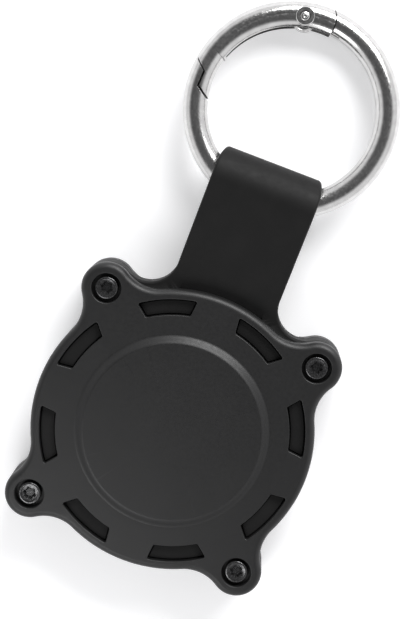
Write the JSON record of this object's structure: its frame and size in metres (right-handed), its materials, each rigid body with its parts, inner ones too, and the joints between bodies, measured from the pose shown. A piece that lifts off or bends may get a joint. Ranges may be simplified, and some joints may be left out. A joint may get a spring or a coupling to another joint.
{
  "type": "tracker tag holder",
  "caption": "Round screwed case for a coin-shaped tracker tag, on a soft folded strap with a sprung gate ring.",
  "frame": {"origin": "on the case's axis, in the flat back of the rear cover that the holder rests on", "axes": "+Z out of the front cover, +Y along the strap towards the ring, +X to the right seen from the front"},
  "size_m": [0.043, 0.0891, 0.0105],
  "materials": {
    "cover_plastic": "fine matte moulded plastic",
    "strap_rubber": "soft matte moulded rubber",
    "screw_black": "black oxide, half gloss",
    "insert_brass": "turned brass",
    "ring_nickel": "polished, with fine lines",
    "rivet_steel": "polished",
    "spring_steel": "drawn wire"
  },
  "bodies": {
    "case": {"rear_cover": "cover_plastic", "strap": "strap_rubber", "threaded_insert_1": "insert_brass", "threaded_insert_2": "insert_brass", "threaded_insert_3": "insert_brass", "threaded_insert_4": "insert_brass"},
    "front": {"front_cover": "cover_plastic", "cover_screw_1": "screw_black", "cover_screw_2": "screw_black", "cover_screw_3": "screw_black", "cover_screw_4": "screw_black"},
    "ring": {"ring_body": "ring_nickel"},
    "gate": {"gate": "ring_nickel", "hinge_rivet": "rivet_steel", "gate_spring": "spring_steel"},
    "plunger": {"spring_plunger": "spring_steel"}
  },
  "joints": [
    {"name": "front_cover_lift", "type": "slide", "parent": "case", "child": "front", "axis": [0, 0, 1], "range_m": [0, 0.02]},
    {"name": "ring_swing", "type": "hinge", "parent": "case", "child": "ring", "pos_m": [0, 0.03818, 0.0052], "axis": [1, 0, 0], "range_deg": [-124, 126]},
    {"name": "gate_open", "type": "hinge", "parent": "ring", "child": "gate", "pos_m": [-0.0036, 0.06487, 0.002], "axis": [0, 0.1192, 0.9929], "range_deg": [0, 25], "stiffness_Nm_per_rad": 0.004, "springref_deg": -17.19},
    {"name": "plunger_slide", "type": "slide", "parent": "gate", "child": "plunger", "axis": [-0.9205, -0.3879, 0.0466], "range_m": [0, 0.00025], "deforming": ["gate_spring"]}
  ],
  "couplings": [
    {"joint": "plunger_slide", "follows": "gate_open", "m_per_rad": 0.00057}
  ]
}
